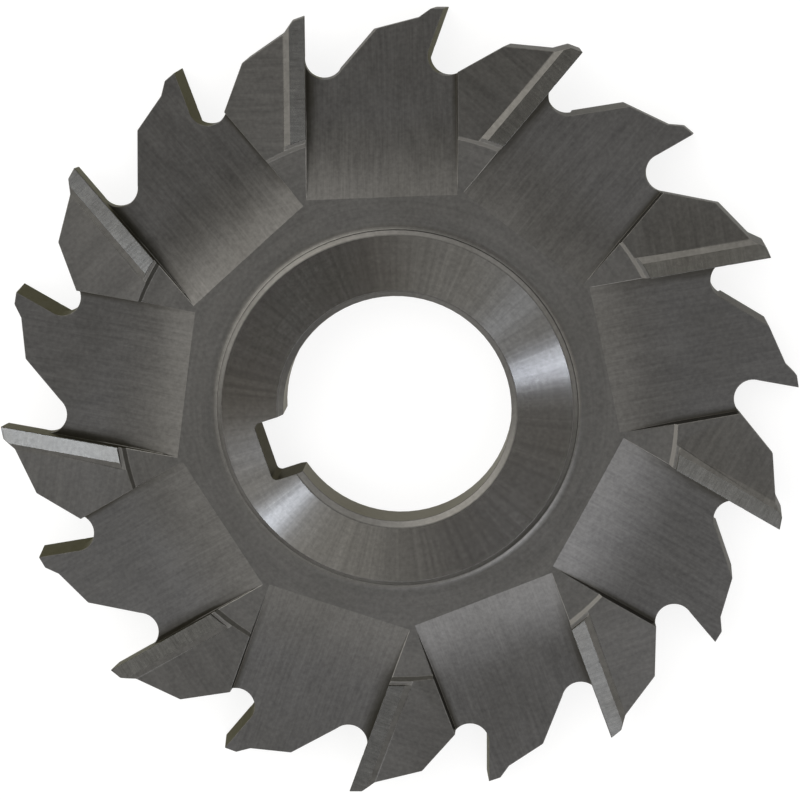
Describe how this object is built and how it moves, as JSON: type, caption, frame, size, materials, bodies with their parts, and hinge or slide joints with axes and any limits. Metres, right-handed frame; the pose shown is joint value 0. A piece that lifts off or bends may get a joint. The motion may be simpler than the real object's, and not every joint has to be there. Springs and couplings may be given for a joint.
{
  "type": "side and face cutter",
  "caption": "Flat round steel milling cutter with staggered teeth on its rim and sides, a raised hub, and a keyed bore for an arbor.",
  "frame": {"origin": "on the bore's axis, in the plane of the lower side cutting edges", "axes": "+Z along the bore axis, out of the upper side; -X through the middle of the keyway"},
  "size_m": [0.0886, 0.0886, 0.0064],
  "materials": {
    "steel": "dark hardened tool steel, milled and ground"
  },
  "bodies": {
    "root": {"cutter": "steel"}
  },
  "joints": []
}
